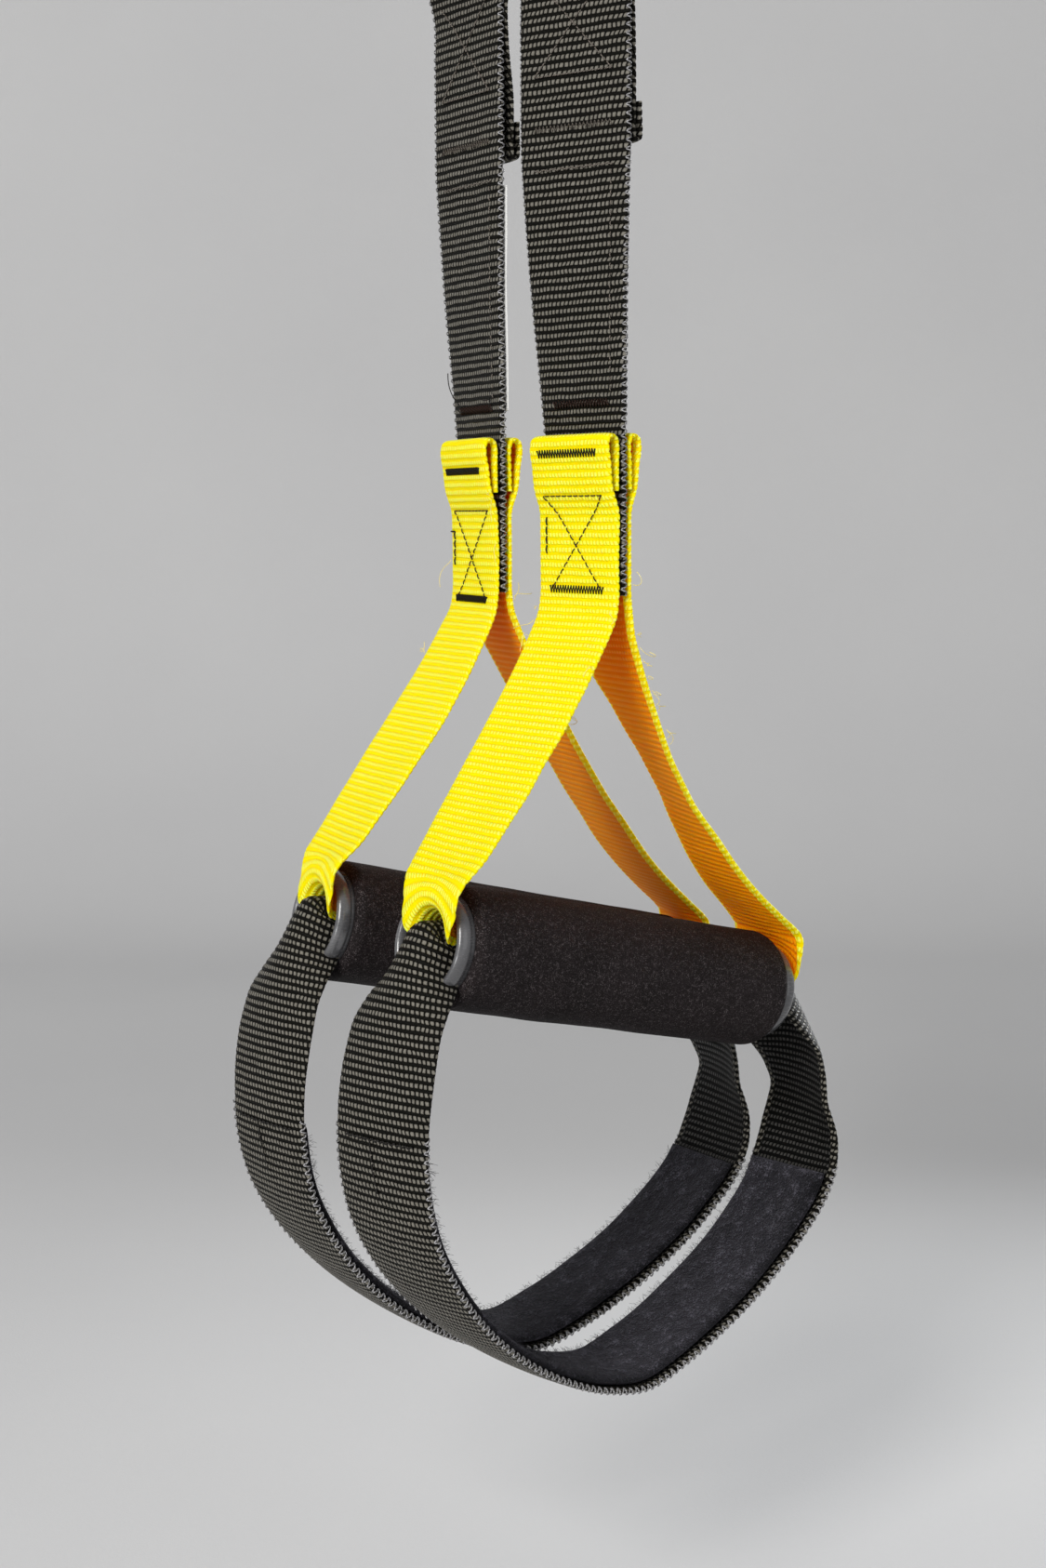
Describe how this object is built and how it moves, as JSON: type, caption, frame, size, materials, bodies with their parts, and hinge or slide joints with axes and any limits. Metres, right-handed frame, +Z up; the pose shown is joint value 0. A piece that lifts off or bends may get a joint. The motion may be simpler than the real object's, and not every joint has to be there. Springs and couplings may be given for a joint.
{
  "type": "suspension trainer handles",
  "caption": "Pair of stirrup handles with foam grips and padded foot cradles, sewn to webbing straps that hang from a ceiling bracket.",
  "frame": {"origin": "centre of the ceiling bracket's mounting face", "axes": "+Z up, out of the mounting face; +Y along the hanger bolt, from the front handle to the rear one; +X along the front handle's grip, towards its lower end, seen from above"},
  "size_m": [0.1856, 0.16, 0.4725],
  "materials": {
    "black_webbing": "heavy ribbed polyester webbing with a slight sheen",
    "yellow_webbing": "bright ribbed nylon webbing, matte",
    "black_thread": "bonded sewing thread",
    "white_label": "plain satin label",
    "foam": "closed-cell foam with a fine matte grain",
    "core_plastic": "plain extruded tube",
    "cap_plastic": "moulded, glossy bead",
    "plush": "short brushed pile",
    "bush_plastic": "turned nylon",
    "bracket_paint": "fine textured powder coat",
    "bolt_steel": "zinc plated"
  },
  "bodies": {
    "anchor": {"anchor_bracket": "bracket_paint", "hanger_bolt": "bolt_steel", "hanger_nut": "bolt_steel", "outer_washers": "bolt_steel", "side_washers": "bolt_steel", "centre_spacer": "bush_plastic", "right_strap_bush": "bush_plastic", "left_strap_bush": "bush_plastic"},
    "right_strap": {"right_strap_webbing": "black_webbing", "right_strap_label": "white_label", "right_strap_stitching": "black_thread", "right_handle_webbing": "yellow_webbing", "right_handle_stitching": "black_thread"},
    "right_grip": {"right_grip_core": "core_plastic", "right_grip_foam": "foam", "right_grip_cap_outer": "cap_plastic", "right_grip_cap_inner": "cap_plastic"},
    "right_cradle": {"right_cradle_webbing": "black_webbing", "right_cradle_liner": "plush", "right_cradle_stitching": "black_thread"},
    "left_strap": {"left_strap_webbing": "black_webbing", "left_strap_label": "white_label", "left_strap_stitching": "black_thread", "left_handle_webbing": "yellow_webbing", "left_handle_stitching": "black_thread"},
    "left_grip": {"left_grip_core": "core_plastic", "left_grip_foam": "foam", "left_grip_cap_outer": "cap_plastic", "left_grip_cap_inner": "cap_plastic"},
    "left_cradle": {"left_cradle_webbing": "black_webbing", "left_cradle_liner": "plush", "left_cradle_stitching": "black_thread"}
  },
  "joints": [
    {"name": "right_strap_swing", "type": "hinge", "parent": "anchor", "child": "right_strap", "pos_m": [0, -0.024, -0.03], "axis": [0, 1, 0], "range_deg": [-60, 60]},
    {"name": "right_grip_spin", "type": "hinge", "parent": "right_strap", "child": "right_grip", "pos_m": [0.0096, -0.024, -0.3452], "axis": [0.9732, 0, -0.23], "continuous": true},
    {"name": "right_cradle_swing", "type": "hinge", "parent": "right_strap", "child": "right_cradle", "pos_m": [0.0096, -0.024, -0.3452], "axis": [0.9732, 0, -0.23], "range_deg": [-70, 0]},
    {"name": "left_strap_swing", "type": "hinge", "parent": "anchor", "child": "left_strap", "pos_m": [0, 0.024, -0.03], "axis": [0, 1, 0], "range_deg": [-60, 60]},
    {"name": "left_grip_spin", "type": "hinge", "parent": "left_strap", "child": "left_grip", "pos_m": [0.00954, 0.02307, -0.3452], "axis": [0.9649, -0.127, -0.23], "continuous": true},
    {"name": "left_cradle_swing", "type": "hinge", "parent": "left_strap", "child": "left_cradle", "pos_m": [0.00954, 0.02307, -0.3452], "axis": [0.9649, -0.127, -0.23], "range_deg": [0, 70]}
  ]
}
